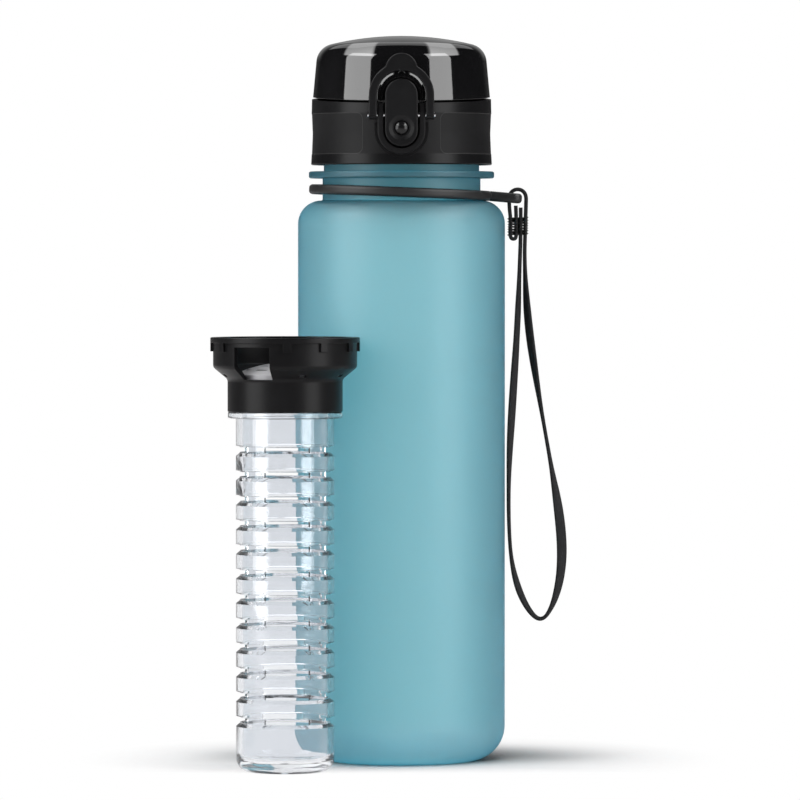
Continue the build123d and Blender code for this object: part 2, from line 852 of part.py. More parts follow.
def infuser_tube():
    """Closed tube with rows of slots at the bottom of grooves."""
    inner_r = tube_r - tube_wall
    flange_r = tube_r + tube_flange_reach
    flange_top = tube_flange_z + tube_flange_t
    tube = turned(
        [
            (0, 0),
            (tube_r, 0, tube_corner_r),
            (tube_r, tube_flange_z),
            (flange_r, tube_flange_z, collar_edge_r),
            (flange_r, flange_top, collar_edge_r),
            (tube_r, flange_top),
            (tube_r, tube_top_z, collar_edge_r),
            (inner_r, tube_top_z, collar_edge_r),
            (inner_r, tube_base_t, tube_corner_r - tube_wall),
            (0, tube_base_t),
        ]
    )
    tube -= disc(foot_recess_r, -overrun, foot_recess_h)
    notch = Pos(foot_recess_r, 0, 0) * Box(2 * foot_notch_l, foot_notch_w, 2 * foot_recess_h)
    tube -= ring_of(notch, foot_notch_count, 0)
    lip_h = (groove_mouth_h - groove_floor_h) / 2
    floor_r = tube_r - groove_depth
    half_floor = groove_floor_h / 2
    groove = turned(
        [
            (floor_r, -half_floor),
            (tube_r, -half_floor - 2 * lip_h),
            (tube_r + overrun, -half_floor - 2 * lip_h),
            (tube_r + overrun, half_floor + lip_h / 2),
            (tube_r, half_floor + lip_h / 2),
            (floor_r, half_floor),
        ]
    )
    slot = ring_block(inner_r - overrun, tube_r + overrun, -slot_h / 2, slot_h / 2, slot_span)
    slot = Rot(0, 0, -slot_span / 2) * slot
    slots = ring_of(slot, slot_count, slot_turn)
    for row in range(groove_rows):
        place = Pos(0, 0, groove_first_z + row * groove_pitch)
        tube -= [place * groove] + [place * cut for cut in slots]
    lug = ring_block(tube_r - tube_wall / 2, tube_r + lug_reach, lug_z, lug_z + lug_h, lug_span)
    tube += ring_of(Rot(0, 0, -lug_span / 2) * lug, lug_count, 0)
    return infuser_place() * tube


def infuser_collar():
    """Collar with a rim, ribs, windows and a bayonet ring for the tube."""
    inner_wall_r = collar_wall_r - collar_wall_t
    ring_in = neck_ring_r - neck_ring_wall
    collar = turned(
        [
            (ring_in, collar_z),
            (neck_ring_r, collar_z, collar_edge_r),
            (neck_ring_r, neck_ring_top_z, collar_fillet_r),
            (collar_wall_r, collar_wall_z, collar_fillet_r),
            (collar_wall_r, rim_z),
            (collar_rim_r, rim_z),
            (collar_rim_r, collar_top_z, collar_edge_r),
            (inner_wall_r, collar_top_z, collar_edge_r),
            (inner_wall_r, collar_wall_z + collar_wall_t / 2),
            (ring_in, neck_ring_top_z + collar_wall_t / 2),
            (ring_in, neck_ring_top_z),
            (ring_in - ledge_w, neck_ring_top_z),
            (ring_in - ledge_w, neck_ring_top_z - ledge_t),
            (ring_in, neck_ring_top_z - ledge_t),
        ]
    )
    rib_span = math.degrees(rib_w / collar_rim_r)
    rib = ring_block(inner_wall_r + collar_wall_t / 2, collar_rim_r, rim_z - rib_h, rim_z, rib_span)
    rib = Rot(0, 0, -rib_span / 2) * rib
    between = 360 / window_count / (ribs_between + 1)
    for i in range(1, ribs_between + 1):
        collar += ring_of(rib, window_count, window_angle + between * i)
    window_low = neck_ring_top_z + seat_gap
    window_high = rim_z - window_head
    window = ring_block(
        ring_in - overrun, collar_rim_r + overrun, window_low, window_high, window_span
    )
    collar -= ring_of(Rot(0, 0, -window_span / 2) * window, window_count, window_angle)
    drain = Pos(neck_ring_r + drain_w / 2, 0, neck_ring_top_z + collar_taper_h / 3) * Box(
        2 * drain_w, drain_w, drain_h
    )
    collar -= ring_of(drain, drain_count, window_angle)
    shelf_z = lug_z - shelf_h - seat_gap
    shelf_out_r = ring_in + neck_ring_wall / 2
    shelf = ring_block(tube_r + shelf_play, shelf_out_r, shelf_z, shelf_z + shelf_h, lug_span)
    collar += ring_of(Rot(0, 0, -lug_span / 2) * shelf, lug_count, 0)
    return infuser_place() * collar


def strainer_dome():
    """Domed strainer that rests on the collar's ledge."""
    rim_r = neck_ring_r - neck_ring_wall - strainer_inset
    low = neck_ring_top_z + seat_gap
    ball_r = (rim_r**2 + strainer_rise**2) / (2 * strainer_rise)
    ball_z = low + strainer_rim_h + strainer_rise - ball_r
    half = outline([(0, low), (rim_r, low), (rim_r, low + ball_r), (0, low + ball_r)])
    half &= Pos(0, ball_z) * Circle(ball_r) - Pos(0, ball_z) * Circle(ball_r - strainer_t)
    half += outline(
        [
            (rim_r - strainer_t, low),
            (rim_r, low),
            (rim_r, low + strainer_rim_h / 2),
            (rim_r - strainer_t, low + strainer_rim_h / 2),
        ]
    )
    dome = revolve(Plane.XZ * half, Axis.Z)
    cuts = []
    for share, count in zip(strainer_ring_share, strainer_ring_count):
        r = rim_r * share
        span = 360 / count * strainer_slot_share
        half_w = strainer_slot_w / 2
        cut = ring_block(r - half_w, r + half_w, low, low + ball_r, span)
        cuts += ring_of(Rot(0, 0, -span / 2) * cut, count, 0)
    return infuser_place() * (dome - cuts)


def cap_seal():
    """Flat silicone seal on top of the spout."""
    return disc(seal_r, seal_z, seal_z + seal_t)


pieces = [
    bottle_body,
    carry_ring,
    wrist_strap,
    lid_base_shell,
    lid_thread_liner,
    lid_gasket,
    drinking_spout,
    cap_shell,
    cap_liner,
    cap_seal,
    latch_lever,
    press_stud,
    latch_pin,
    latch_spring,
    lock_bail,
    hinge_pin,
    hinge_spring,
    infuser_tube,
    infuser_collar,
    strainer_dome,
]

os.makedirs("parts", exist_ok=True)
for piece in pieces:
    export_step(piece(), f"parts/{piece.__name__}.step")
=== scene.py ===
"""Finishes, wrist strap, stitching and stage for a fruit infuser water bottle."""

import math

import bmesh
import bpy
import numpy as np
from bpy.props import FloatProperty, FloatVectorProperty, IntProperty, PointerProperty
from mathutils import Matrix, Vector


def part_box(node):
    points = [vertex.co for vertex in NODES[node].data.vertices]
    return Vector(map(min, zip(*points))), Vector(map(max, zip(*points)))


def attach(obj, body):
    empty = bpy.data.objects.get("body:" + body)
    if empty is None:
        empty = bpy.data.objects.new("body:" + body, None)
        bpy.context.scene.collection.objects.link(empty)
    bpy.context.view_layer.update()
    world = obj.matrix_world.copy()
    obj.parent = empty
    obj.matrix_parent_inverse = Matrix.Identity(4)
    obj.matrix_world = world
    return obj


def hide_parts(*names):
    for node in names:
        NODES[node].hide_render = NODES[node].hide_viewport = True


bl_info = {
    "name": "Fruit Infuser Bottle",
    "version": (1, 0, 0),
    "blender": (4, 5, 0),
    "location": "3D View > Sidebar > Bottle",
    "description": "Finishes, wrist strap and stage for an infuser bottle",
    "category": "Object",
}

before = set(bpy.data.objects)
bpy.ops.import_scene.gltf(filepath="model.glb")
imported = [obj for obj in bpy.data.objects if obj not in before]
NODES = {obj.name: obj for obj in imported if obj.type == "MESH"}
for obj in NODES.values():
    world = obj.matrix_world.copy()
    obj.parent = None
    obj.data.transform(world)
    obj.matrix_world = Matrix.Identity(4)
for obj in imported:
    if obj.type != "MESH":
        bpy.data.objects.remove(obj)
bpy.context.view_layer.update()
MM = 0.001

# The lid's wall, and the two sunken grip panels round its sides
LID_LOW, LID_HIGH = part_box("lid_base_shell")
PANEL_LOW = LID_LOW[2] + 3.4 * MM
PANEL_HIGH = PANEL_LOW + 12.6 * MM
PANEL_RADIUS = LID_HIGH[0] - 0.18 * MM
PANEL_START = math.radians(25.5)
PANEL_SPAN = math.radians(124.5)

# The bottle's neck and the top of the flange round it
NECK_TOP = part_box("bottle_body")[1][2]
FLANGE_TOP = NECK_TOP - 13.9 * MM

# The strap's route, (x, z) in metres in the plane y = 0, from the end sewn inside
# the small loop, down the long loop, over the tab's bar and back up between the legs.
STRAP_ROUTE = [
    (0.03745, 0.1738),
    (0.0375, 0.1665),
    (0.0371, 0.1545),
    (0.0364, 0.1355),
    (0.0349, 0.113),
    (0.03375, 0.093),
    (0.03365, 0.0745),
    (0.0347, 0.0605),
    (0.0384, 0.0492),
    (0.0439, 0.0428),
    (0.0483, 0.0496),
    (0.0507, 0.0615),
    (0.05, 0.076),
    (0.0463, 0.097),
    (0.0424, 0.119),
    (0.0396, 0.1385),
    (0.0386, 0.157),
    (0.0389, 0.1675),
    (0.0391, 0.1743),
    (0.0392, 0.1779),
    (0.0376, 0.1795),
    (0.0354, 0.1795),
    (0.0338, 0.1779),
    (0.03385, 0.174),
    (0.03435, 0.1696),
    (0.0342, 0.1664),
    (0.03425, 0.16395),
    (0.0361, 0.16395),
    (0.036, 0.1672),
    (0.03605, 0.1708),
    (0.0359, 0.1744),
]

# How far the strap's band is turned about its own line, in degrees, at shares of its length
STRAP_TURNS = [
    (0.0, 0),
    (0.075, 8),
    (0.105, 28),
    (0.135, 26),
    (0.165, 37),
    (0.215, 43),
    (0.25, 30),
    (0.29, 8),
    (0.36, 0),
    (0.40, 34),
    (0.425, 20),
    (0.45, -6),
    (0.475, -38),
    (0.505, -62),
    (0.53, -82),
    (0.56, -66),
    (0.585, -36),
    (0.61, -6),
    (0.66, 0),
    (0.70, 26),
    (0.74, 46),
    (0.775, 40),
    (0.80, 16),
    (0.82, 2),
    (1.0, 0),
]


class BottleSettings(bpy.types.PropertyGroup):
    """Sizes and colours that a user may want to change."""

    body_tint: FloatVectorProperty(
        name="Body tint",
        description="Colour of the bottle's frosted wall",
        subtype="COLOR",
        default=(0.80, 0.92, 0.915),
    )
    tube_tint: FloatVectorProperty(
        name="Tube tint",
        description="Colour of the infuser tube's clear wall",
        subtype="COLOR",
        default=(0.84, 0.86, 0.89),
    )
    plastic_black: FloatVectorProperty(
        name="Black plastic",
        description="Colour of the lid, the cap and the collar",
        subtype="COLOR",
        default=(0.004, 0.004, 0.0044),
    )
    strap_black: FloatVectorProperty(
        name="Strap",
        description="Colour of the woven strap",
        subtype="COLOR",
        default=(0.006, 0.006, 0.0065),
    )
    strap_width: FloatProperty(
        name="Strap width",
        description="Width of the woven band",
        subtype="DISTANCE",
        default=3.2 * MM,
    )
    strap_thickness: FloatProperty(
        name="Strap thickness",
        description="Thickness of the woven band",
        subtype="DISTANCE",
        default=1.2 * MM,
    )
    strap_sides: IntProperty(
        name="Strap sides",
        description="Points round the band's section",
        default=24,
    )
    camera_distance: FloatProperty(
        name="Camera distance",
        description="Camera's distance from the bottle's axis",
        subtype="DISTANCE",
        default=2.0,
    )
    camera_height: FloatProperty(
        name="Camera height",
        description="Camera's height above the floor",
        subtype="DISTANCE",
        default=0.1636,
    )
    lamp_power: FloatProperty(
        name="Side lamp power",
        description="Power of the two tall side lamps for each square metre",
        default=14.8,
    )


class Wire:
    """A value in a material's nodes, which Python's operators work on."""

    def __init__(self, finish, socket):
        self.finish = finish
        self.socket = socket

    def math(self, operation, *values):
        return self.finish.add("ShaderNodeMath", {"operation": operation}, list(values))

    def __add__(self, other):
        return self.math("ADD", self, other)

    __radd__ = __add__

    def __sub__(self, other):
        return self.math("SUBTRACT", self, other)

    def __rsub__(self, other):
        return self.math("SUBTRACT", other, self)

    def __mul__(self, other):
        return self.math("MULTIPLY", self, other)

    __rmul__ = __mul__

    def __truediv__(self, other):
        return self.math("DIVIDE", self, other)

    def __pow__(self, other):
        return self.math("POWER", self, other)

    def __neg__(self):
        return self.math("SUBTRACT", 0.0, self)

    def __abs__(self):
        return self.math("ABSOLUTE", self)

    def sin(self):
        return self.math("SINE", self)

    def least(self, other):
        return self.math("MINIMUM", self, other)

    def most(self, other):
        return self.math("MAXIMUM", self, other)

    def ramp(self, low, high):
        """Goes smoothly from 0 at low to 1 at high."""
        settings = {"interpolation_type": "SMOOTHSTEP"}
        return self.finish.add(
            "ShaderNodeMapRange", settings, {"Value": self, "From Min": low, "From Max": high}
        )

    def parts(self):
        """The X, Y and Z of a vector."""
        node = self.finish.node("ShaderNodeSeparateXYZ", {}, {"Vector": self})
        return [Wire(self.finish, socket) for socket in node.outputs]


class Finish:
    """A node tree under construction, for a material or for the world."""

    def __init__(self, owner):
        owner.use_nodes = True
        self.owner = owner
        self.tree = owner.node_tree
        self.tree.nodes.clear()

    def node(self, kind, settings, values):
        """Adds a node: its settings first, then the values or links of its sockets."""
        made = self.tree.nodes.new(kind)
        for key, value in settings.items():
            setattr(made, key, value)
        pairs = enumerate(values) if isinstance(values, list) else values.items()
        for key, value in pairs:
            socket = self.socket(made.inputs, key)
            if isinstance(value, Wire):
                self.tree.links.new(value.socket, socket)
            elif socket.type == "RGBA" and len(value) == 3:
                socket.default_value = (*value, 1.0)
            else:
                socket.default_value = value
        return made

    def socket(self, sockets, key):
        """A socket by its number, its identifier or its name."""
        if isinstance(key, int):
            return sockets[key]
        for socket in sockets:
            if socket.identifier == key:
                return socket
        return sockets[key]

    def add(self, kind, settings, values, output=0):
        """Adds a node and gives one of its outputs as a value."""
        made = self.node(kind, settings, values)
        return Wire(self, self.socket(made.outputs, output))

    def mix(self, first, second, share):
        """A colour that goes from the first to the second."""
        values = {"Factor_Float": share, "A_Color": first, "B_Color": second}
        return self.add("ShaderNodeMix", {"data_type": "RGBA"}, values, "Result_Color")

    def place(self, scale=(1, 1, 1)):
        """Object coordinates in metres, scaled."""
        spot = self.add("ShaderNodeTexCoord", {}, {}, "Object")
        return self.add("ShaderNodeMapping", {}, {"Vector": spot, "Scale": scale})

    def noise(self, scale, detail=2.0, stretch=(1, 1, 1)):
        """Noise from 0 to 1 with so many features to the metre."""
        values = {"Vector": self.place(stretch), "Scale": scale, "Detail": detail}
        return self.add("ShaderNodeTexNoise", {}, values)

    def rays(self):
        """1 for rays straight from the camera, for rays off a glossy surface, and for rays
        that have come through a clear wall."""
        path = self.node("ShaderNodeLightPath", {}, {}).outputs
        names = ("Is Camera Ray", "Is Glossy Ray", "Transmission Depth")
        direct, glossy, depth = [Wire(self, path[name]) for name in names]
        return direct, glossy, depth.least(1.0)

    def bump(self, height, depth, edge=None):
        """A normal that is bent by a height map of so many metres, over edges that are
        rounded by so many metres."""
        values = {"Height": height, "Distance": depth}
        if edge:
            values["Normal"] = self.add("ShaderNodeBevel", {"samples": 6}, {"Radius": edge})
        return self.add("ShaderNodeBump", {}, values)

    def surface(self, inside=None, **values):
        """Ends the tree in one principled shader, with what fills the wall if it absorbs."""
        named = {
            key.replace("_", " ").title().replace("Ior", "IOR"): value
            for key, value in values.items()
        }
        ends = {"Surface": self.add("ShaderNodeBsdfPrincipled", {}, named)}
        if inside:
            ends["Volume"] = inside
        self.node("ShaderNodeOutputMaterial", {}, ends)
        return self.owner


def new_finish(name):
    return Finish(bpy.data.materials.new(name))


def outline_highlight_mask(finish):
    """Mask of the painted highlight on the lid: 1 on the outline of the lid's two grip panels
    and 0 away from it. Each panel is a rectangle with round corners, in the plane of z and of
    the angle from the front times the lid's radius, and the value falls with the distance to
    that rectangle's edge."""
    middle_angle = PANEL_START + PANEL_SPAN / 2
    middle_z = (PANEL_LOW + PANEL_HIGH) / 2
    half_length = PANEL_RADIUS * PANEL_SPAN / 2
    half_height = (PANEL_HIGH - PANEL_LOW) / 2
    corner, half_line = 2.0 * MM, 0.2 * MM
    across, depth, height = finish.place().parts()
    angle = abs(finish.add("ShaderNodeMath", {"operation": "ARCTAN2"}, [across, -depth]))
    along = abs(angle - middle_angle) * PANEL_RADIUS - (half_length - corner)
    over = abs(height - middle_z) - (half_height - corner)
    outside = (along.most(0.0) ** 2 + over.most(0.0) ** 2) ** 0.5
    inside = along.most(over).least(0.0)
    return 1.0 - (abs(outside + inside - corner) / half_line).least(1.0)


def moulded(
    name,
    colour,
    roughness,
    grain,
    specular,
    depth=0.01 * MM,
    edge=0.25 * MM,
    outline_highlight_tint=None,
    smooth_bands=(),
):
    """Moulded plastic: so many grains to the metre, of some depth, handling that dulls it in
    places, and edges that are a little rounded. The lid's also has a painted highlight, a
    lighter line along the outline of its grip panels, and bands of height that are moulded
    smoother."""
    finish = new_finish(name)
    smudge = finish.noise(38.0, 3.0)
    speck = finish.noise(grain)
    worn = [channel * 1.5 + 0.001 for channel in colour]
    tint = finish.mix(colour, worn, smudge.ramp(0.35, 0.8))
    if outline_highlight_tint:
        # painted highlight: a lighter line along the outline of the lid's grip panels
        tint = finish.mix(tint, outline_highlight_tint, outline_highlight_mask(finish))
    rough = smudge * (roughness * 0.3) + roughness * 0.85
    if smooth_bands:
        height = finish.place().parts()[2]
    soft = 0.2 * MM
    for low, high in smooth_bands:
        band = height.ramp(low - soft, low + soft) - height.ramp(high - soft, high + soft)
        rough = rough * (1.0 - band * 0.4)
    return finish.surface(
        base_color=tint,
        roughness=rough,
        normal=finish.bump(speck, depth, edge),
        specular_ior_level=specular,
    )


def frosted_body(tint):
    """Tinted wall with a satin outside: light passes, shapes do not. The neck and the top of the
    shoulder are darker, partly the deeper colour of the neck's thick wall and partly painted
    shade under the dark lid; the flange is darker still, with painted shade under the lid's
    skirt; and the foot is pale."""
    finish = new_finish("body frosted tint")
    cloud = finish.noise(14.0)
    frost = finish.noise(5200.0)
    height = finish.place().parts()[2]
    foot = 1.0 - height.ramp(2.0 * MM, 18.0 * MM)
    # partly painted shade: the neck and the shoulder's top darken, partly for the neck's thick
    # wall and partly for shade under the dark lid
    neck = height.ramp(NECK_TOP - 31.0 * MM, NECK_TOP - 19.0 * MM) + cloud * 0.06
    # painted shade on the flange, under the lid's skirt
    flange_low = height.ramp(FLANGE_TOP - 2.9 * MM, FLANGE_TOP - 2.0 * MM)
    flange = flange_low - height.ramp(FLANGE_TOP, FLANGE_TOP + 0.3 * MM)
    neck_shaded_tint = [channel * share for channel, share in zip(tint, (0.66, 0.80, 0.82))]
    flange_shaded_tint = [channel * share for channel, share in zip(neck_shaded_tint, (0.45, 0.66, 0.72))]
    colour = finish.mix(tint, (1.0, 1.0, 1.0), foot * 0.8)
    colour = finish.mix(colour, neck_shaded_tint, neck)
    dye = {"Color": (0.30, 0.79, 0.84), "Density": 180.0}
    return finish.surface(
        inside=finish.add("ShaderNodeVolumeAbsorption", {}, dye),
        base_color=finish.mix(colour, flange_shaded_tint, flange),
        roughness=frost * 0.08 + 0.40,
        transmission_weight=0.89,
        normal=finish.bump(frost, 0.01 * MM),
        ior=1.45,
        coat_weight=1.0,
        coat_roughness=0.4,
        coat_ior=1.03,
        coat_tint=(0.84, 0.935, 0.965),
    )


def clear_tube(tint):
    """Clear moulded tube with a faint flow in its wall."""
    finish = new_finish("tube clear")
    flow = finish.noise(55.0, stretch=(1, 1, 0.35))
    return finish.surface(
        base_color=tint,
        roughness=flow * 0.04,
        transmission_weight=0.97,
        normal=finish.bump(flow, 0.4 * MM),
        ior=1.49,
    )


def strainer_grey():
    """Grey plastic that lets a little light through."""
    finish = new_finish("strainer grey")
    fine = finish.noise(900.0)
    return finish.surface(
        base_color=finish.mix((0.45, 0.45, 0.47), (0.38, 0.38, 0.40), fine),
        roughness=0.3,
        transmission_weight=0.25,
        normal=finish.bump(fine, 0.05 * MM),
    )


def silicone():
    """Milky rubber of the seals."""
    finish = new_finish("seal silicone")
    fine = finish.noise(700.0, 3.0)
    return finish.surface(
        base_color=finish.mix((0.72, 0.72, 0.70), (0.62, 0.62, 0.60), fine),
        roughness=fine * 0.2 + 0.4,
        subsurface_weight=0.2,
    )


def bright_steel():
    """Drawn steel: fine lines along X."""
    finish = new_finish("pin steel")
    lines = finish.noise(1500.0, 3.0, stretch=(0.05, 1, 1))
    return finish.surface(
        base_color=finish.mix((0.72, 0.72, 0.74), (0.55, 0.55, 0.57), lines),
        metallic=1.0,
        roughness=lines * 0.15 + 0.16,
    )


def woven(colour):
    """Woven band: two families of yarns that cross, one wave of each to the millimetre of the
    band's own UV map. The yarns' crests are painted lighter than the hollows between them,
    painted shading of the weave, and random pale flecks are a painted sheen of loose fibres that
    catch the light."""
    finish = new_finish("strap weave")
    along, round_it, _ = finish.add("ShaderNodeUVMap", {"uv_map": "band"}, {}, "UV").parts()
    turn = 2 * math.pi
    first = (along * turn + round_it * turn).sin()
    second = (along * turn - round_it * turn).sin()
    yarn = abs(first).most(abs(second))
    fuzz_and_sheen = finish.noise(2600.0, 3.0)
    # painted shading: the yarns' crests lighter than the hollows
    painted_crest_light = [channel * 3.0 + 0.004 for channel in colour]
    weave = finish.mix(colour, painted_crest_light, yarn)
    return finish.surface(
        # painted sheen: pale flecks of loose fibres
        base_color=finish.mix(weave, (0.10, 0.10, 0.10), fuzz_and_sheen.ramp(0.62, 0.78)),
        roughness=fuzz_and_sheen * 0.25 + 0.6,
        normal=finish.bump(yarn * 0.8 + fuzz_and_sheen * 0.4, 0.16 * MM),
        specular_ior_level=0.12,
    )


def thread_black():
    """Twisted thread, dull and nearly black."""
    finish = new_finish("stitch thread")
    lay = finish.noise(3000.0, stretch=(1, 1, 3))
    return finish.surface(
        base_color=finish.mix((0.004, 0.004, 0.004), (0.02, 0.02, 0.02), lay),
        roughness=0.7,
        normal=finish.bump(lay, 0.1 * MM),
        specular_ior_level=0.2,
    )


def dress(material, *names):
    """Gives a finish to CAD nodes."""
    for name in names:
        for holder in NODES[name].material_slots:
            holder.material = material


def route_line(points):
    """A smooth line through space: the points are the controls of a quadratic NURBS."""
    curve = bpy.data.curves.new("route", "CURVE")
    curve.dimensions = "3D"
    spline = curve.splines.new("NURBS")
    spline.points.add(len(points) - 1)
    weighted = np.hstack([points, np.ones((len(points), 1))])
    spline.points.foreach_set("co", weighted.ravel())
    spline.order_u = 3
    spline.use_endpoint_u = True
    spline.resolution_u = 14
    holder = bpy.data.objects.new("route", curve)
    mesh = bpy.data.meshes.new_from_object(holder)
    line = np.empty(len(mesh.vertices) * 3)
    mesh.vertices.foreach_get("co", line)
    bpy.data.meshes.remove(mesh)
    bpy.data.objects.remove(holder)
    bpy.data.curves.remove(curve)
    return line.reshape(-1, 3)


def lengths_along(line):
    """Each point's distance from the line's start: the sum of the steps before it."""
    steps = np.linalg.norm(np.diff(line, axis=0), axis=1)
    return np.concatenate([[0.0], np.cumsum(steps)])


def directions(line):
    """Unit tangents: the step between each point's two neighbours."""
    steps = np.gradient(line, axis=0)
    return steps / np.linalg.norm(steps, axis=1, keepdims=True)


def tube_mesh(name, rings, lengths, girth):
    """A closed tube: each ring of points is joined to the next, and both ends are capped.
    Its UV map runs in millimetres, along the tube and round it."""
    count, around = rings.shape[:2]
    row = np.arange(count - 1)[:, None] * around
    here = np.arange(around)[None, :]
    after = (here + 1) % around
    quads = np.stack([row + here, row + after, row + around + after, row + around + here], -1)
    faces = quads.reshape(-1, 4).tolist()
    faces.append(list(range(around))[::-1])
    faces.append(list(range((count - 1) * around, count * around)))
    mesh = bpy.data.meshes.new(name)
    mesh.from_pydata(rings.reshape(-1, 3).tolist(), [], faces)
    u = np.broadcast_to(lengths[:, None], (count, around + 1)) / MM
    v = np.broadcast_to(np.linspace(0, girth, around + 1), (count, around + 1)) / MM
    corners = np.stack(
        [
            np.stack([u[:-1, :-1], v[:-1, :-1]], -1),
            np.stack([u[:-1, 1:], v[:-1, 1:]], -1),
            np.stack([u[1:, 1:], v[1:, 1:]], -1),
            np.stack([u[1:, :-1], v[1:, :-1]], -1),
        ],
        axis=2,
    ).reshape(-1, 2)
    ends = np.zeros((2 * around, 2))
    layer = mesh.uv_layers.new(name="band")
    layer.uv.foreach_set("vector", np.vstack([corners, ends]).ravel())
    mesh.polygons.foreach_set("use_smooth", np.ones(len(faces), dtype=bool))
    shape = bmesh.new()
    shape.from_mesh(mesh)
    bmesh.ops.recalc_face_normals(shape, faces=shape.faces)
    shape.to_mesh(mesh)
    shape.free()
    return mesh


def new_piece(name, mesh, material, body):
    """Puts a mesh in the scene as a piece that rides on a body."""
    piece = bpy.data.objects.new(name, mesh)
    bpy.context.scene.collection.objects.link(piece)
    mesh.materials.append(material)
    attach(piece, body)
    return piece


def rings_on(line, side, over, side_by, over_by):
    """Rings of points: each point of the line, plus side_by times its unit vector to the
    side, plus over_by times its unit vector over it."""
    return (
        line[:, None, :]
        + side[:, None, :] * side_by[None, :, None]
        + over[:, None, :] * over_by[None, :, None]
    )


def band_rings(line, width, thickness, turns, sides):
    """Rings of a flat band with round edges. Its section is a superellipse of power 3 with
    the band's width and thickness for axes, which is turned about the line by an angle
    that is looked up by the share of the line's length and smoothed over 15 points."""
    along = lengths_along(line)
    shares, angles = np.array(turns, dtype=float).T
    turn = np.radians(np.interp(along / along[-1], shares, angles))
    window = np.hanning(15)
    padded = np.pad(turn, len(window) // 2, mode="edge")
    turn = np.convolve(padded, window / window.sum(), mode="valid")
    forward = directions(line)
    across = np.array([0.0, 1.0, 0.0])
    inward = np.cross(forward, across)
    wide = np.cos(turn)[:, None] * across + np.sin(turn)[:, None] * inward
    thick = np.cross(forward, wide)
    angle = np.linspace(0, 2 * math.pi, sides, endpoint=False)
    power = 2 / 3
    wide_by = width / 2 * np.sign(np.cos(angle)) * np.abs(np.cos(angle)) ** power
    thick_by = thickness / 2 * np.sign(np.sin(angle)) * np.abs(np.sin(angle)) ** power
    return rings_on(line, wide, thick, wide_by, thick_by), along


def thread_rings(line, radius, sides=8):
    """Rings of a round thread: circles across the line, in a frame that leans on Z."""
    forward = directions(line)
    side = np.cross(forward, np.array([0.0, 0.0, 1.0]))
    side /= np.linalg.norm(side, axis=1, keepdims=True)
    angle = np.linspace(0, 2 * math.pi, sides, endpoint=False)
    over = np.cross(forward, side)
    return rings_on(line, side, over, radius * np.cos(angle), radius * np.sin(angle))


class BOTTLE_OT_camera(bpy.types.Operator):
    """Stands the camera in front of the bottle, low and far away"""

    bl_idname = "bottle.camera"
    bl_label = "Camera"

    def execute(self, context):
        settings = context.scene.bottle
        # The focal length, the frame's width and how far the view dips, in pixels.
        focal_px, frame_px, dip_px = 6363.0, 800.0, 160.0
        aside = 0.47 * MM
        data = bpy.data.cameras.new("camera")
        data.sensor_width = 36.0
        data.lens = focal_px / frame_px * data.sensor_width
        data.clip_end = 50.0
        camera = bpy.data.objects.new("camera", data)
        camera.location = (-aside, -settings.camera_distance, settings.camera_height)
        camera.rotation_euler = (math.pi / 2 - math.atan(dip_px / focal_px), 0, 0)
        context.scene.collection.objects.link(camera)
        context.scene.camera = camera
        return {"FINISHED"}


class BOTTLE_OT_strap(bpy.types.Operator):
    """Makes the woven wrist strap and the stitches that close its two loops"""

    bl_idname = "bottle.strap"
    bl_label = "Wrist strap"

    def execute(self, context):
        settings = context.scene.bottle
        route = np.array([(x, 0.0, z) for x, z in STRAP_ROUTE])
        line = route_line(route)
        rings, along = band_rings(
            line,
            settings.strap_width,
            settings.strap_thickness,
            STRAP_TURNS,
            settings.strap_sides,
        )
        girth = 2 * (settings.strap_width + settings.strap_thickness)
        mesh = tube_mesh("strap_band", rings, along, girth)
        weave = woven(settings.strap_black)
        band = new_piece("strap_band", mesh, weave, "strap")
        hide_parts("wrist_strap")
        stitches = self.stitches(settings, line)
        return {"FINISHED"}

    def stitches(self, settings, band):
        """One thread sewn back and forth through the band's four strands, which lie side by
        side. With t counting the strands passed, x is a triangular wave of t that is
        stretched to the gaps between the strands, y = half_y sin(pi t) and
        z = low_z + rise t / 4 + wave sin(1.7 t)."""
        passes, steps = 13, 48
        radius, proud = 0.27 * MM, 0.12 * MM
        low_z, rise, wave = 165.2 * MM, 0.42 * MM, 0.08 * MM
        above = band[:, 2] > low_z + rise * passes / 2
        strands = np.sort(band[np.flatnonzero(above[1:] != above[:-1]), 0])
        reach = settings.strap_thickness / 2 + proud
        between = (strands[:-1] + strands[1:]) / 2
        gaps = np.concatenate([[strands[0] - reach], between, [strands[-1] + reach]])
        half_y = settings.strap_width / 2 + proud
        passed = np.linspace(0, 4 * passes, passes * steps)
        x = np.interp(4 - np.abs(passed % 8 - 4), np.arange(5), gaps)
        y = half_y * np.sin(math.pi * passed)
        z = low_z + rise * passed / 4 + wave * np.sin(passed * 1.7)
        line = np.stack([x, y, z], axis=1)
        rings = thread_rings(line, radius)
        mesh = tube_mesh("strap_stitches", rings, lengths_along(line), 2 * math.pi * radius)
        return new_piece("strap_stitches", mesh, thread_black(), "strap")


